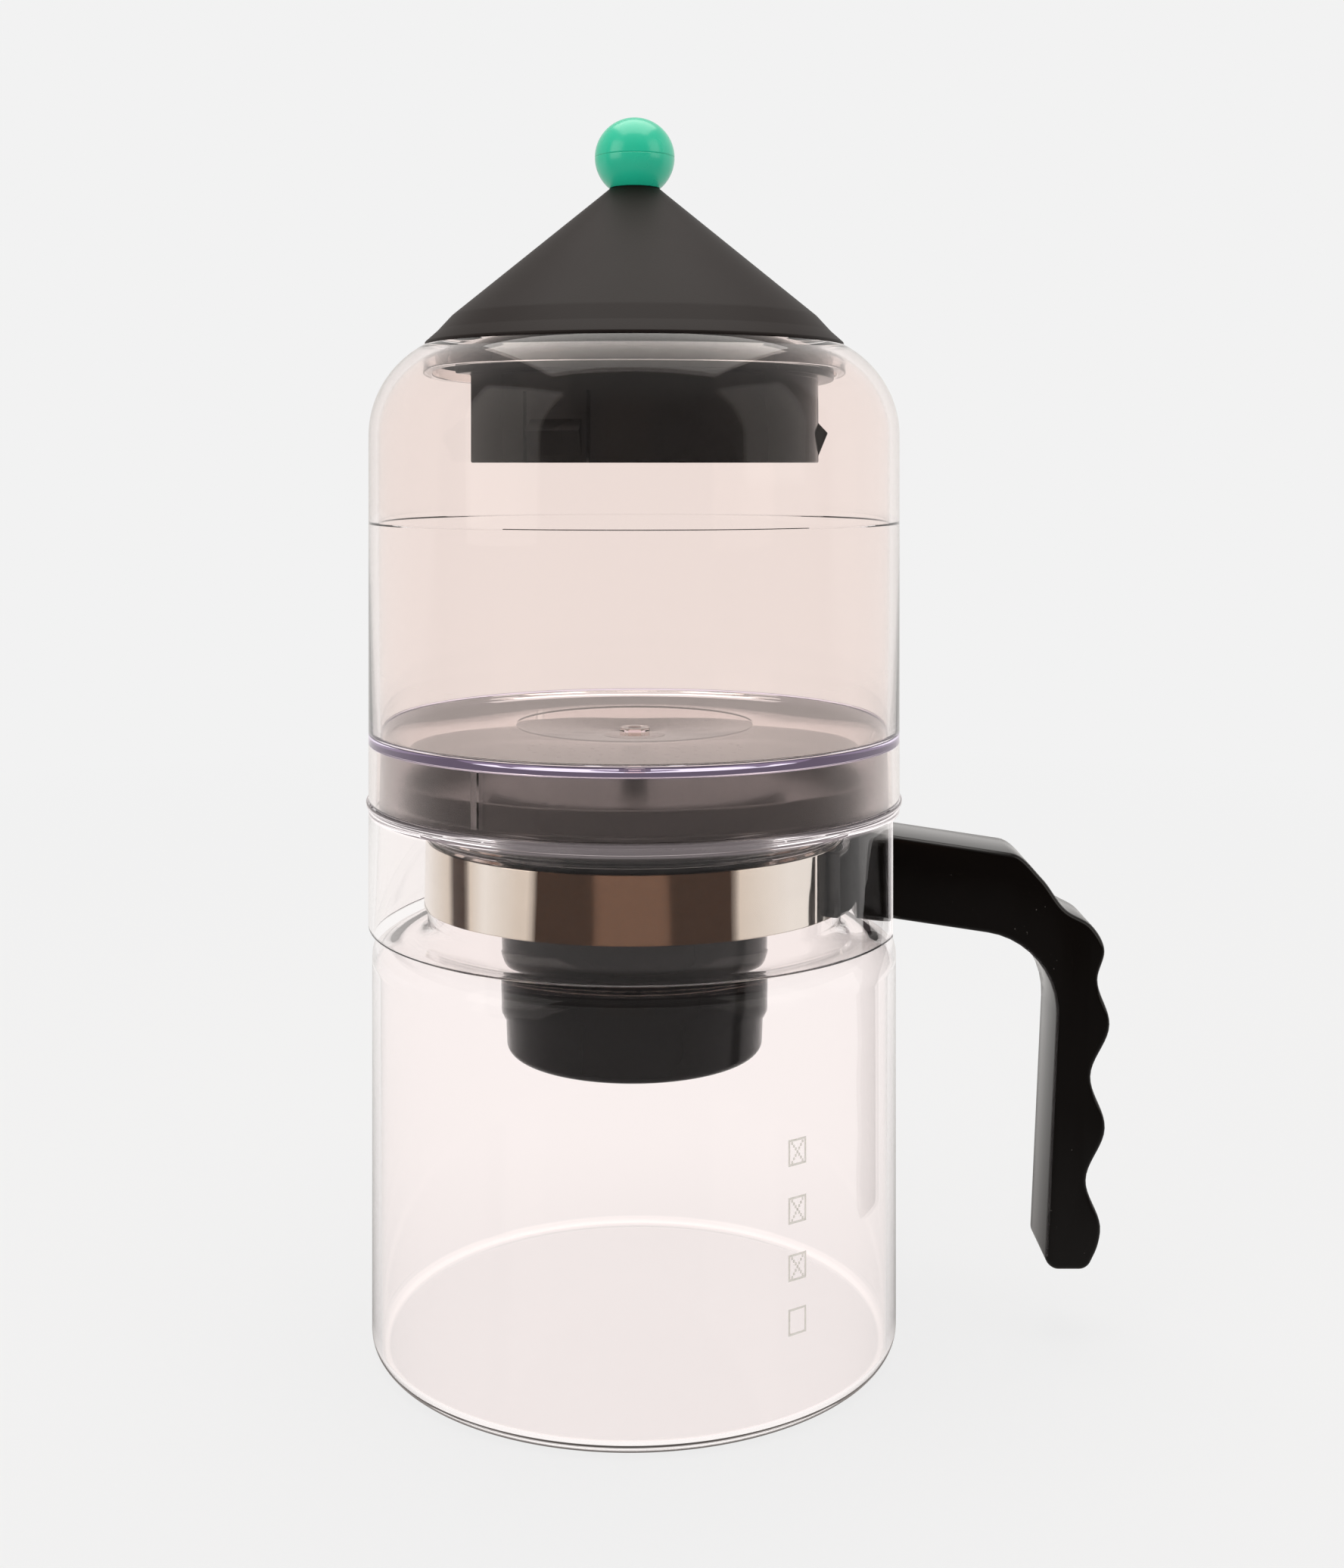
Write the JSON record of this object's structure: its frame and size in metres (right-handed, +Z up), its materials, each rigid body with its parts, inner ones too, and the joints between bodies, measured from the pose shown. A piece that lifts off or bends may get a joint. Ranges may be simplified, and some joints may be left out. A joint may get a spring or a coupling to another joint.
{
  "type": "cold drip coffee tower",
  "caption": "Table-top drip coffee maker: a clear water tank with a cone lid over a filter basket, on a handled glass jug.",
  "frame": {"origin": "centre of the jug's flat underside, on the tower's axis", "axes": "+Z up along the tower's axis, +X towards the handle, front is -Y"},
  "size_m": [0.1668, 0.121, 0.2756],
  "materials": {
    "jug_glass": "clear borosilicate glass",
    "polished_steel": "mirror-polished stainless steel",
    "black_gloss": "gloss black moulded plastic",
    "black_matte": "fine-textured matte black plastic",
    "plain_steel": "plain stainless steel",
    "brass": "turned brass",
    "clear_plastic": "clear polished plastic, faintly warm",
    "frosted_plastic": "clear plastic with a frosted face",
    "tinted_plastic": "clear plastic with a faint violet edge",
    "green_gloss": "gloss green plastic"
  },
  "bodies": {
    "jug": {"jug_base": "jug_glass", "jug_wall": "jug_glass", "jug_neck": "jug_glass", "neck_band": "polished_steel", "handle_saddle": "black_gloss", "handle": "black_gloss", "clamp_screw": "plain_steel", "clamp_insert": "brass"},
    "carrier": {"carrier_ring": "clear_plastic", "locating_sleeve": "frosted_plastic"},
    "basket": {"basket_pan": "black_gloss", "basket_cup": "black_gloss", "filter_mesh": "plain_steel"},
    "spreader": {"water_spreader": "black_gloss"},
    "tank": {"tank_floor": "tinted_plastic", "drip_nozzle": "tinted_plastic", "tank_barrel": "clear_plastic", "tank_dome": "clear_plastic"},
    "lid": {"lid_cone": "black_matte", "lid_collar": "black_gloss", "knob_lower": "green_gloss", "knob_upper": "green_gloss", "knob_stud": "plain_steel", "knob_washer": "plain_steel", "knob_nut": "plain_steel"}
  },
  "joints": [
    {"name": "carrier_lift", "type": "slide", "parent": "jug", "child": "carrier", "axis": [0, 0, 1], "range_m": [0, 0.06]},
    {"name": "basket_lift", "type": "slide", "parent": "carrier", "child": "basket", "axis": [0, 0, 1], "range_m": [0, 0.074]},
    {"name": "spreader_lift", "type": "slide", "parent": "basket", "child": "spreader", "axis": [0, 0, 1], "range_m": [0, 0.014]},
    {"name": "tank_lift", "type": "slide", "parent": "spreader", "child": "tank", "axis": [0, 0, 1], "range_m": [0, 0.03]},
    {"name": "lid_lift", "type": "slide", "parent": "tank", "child": "lid", "axis": [0, 0, 1], "range_m": [0, 0.032]}
  ]
}
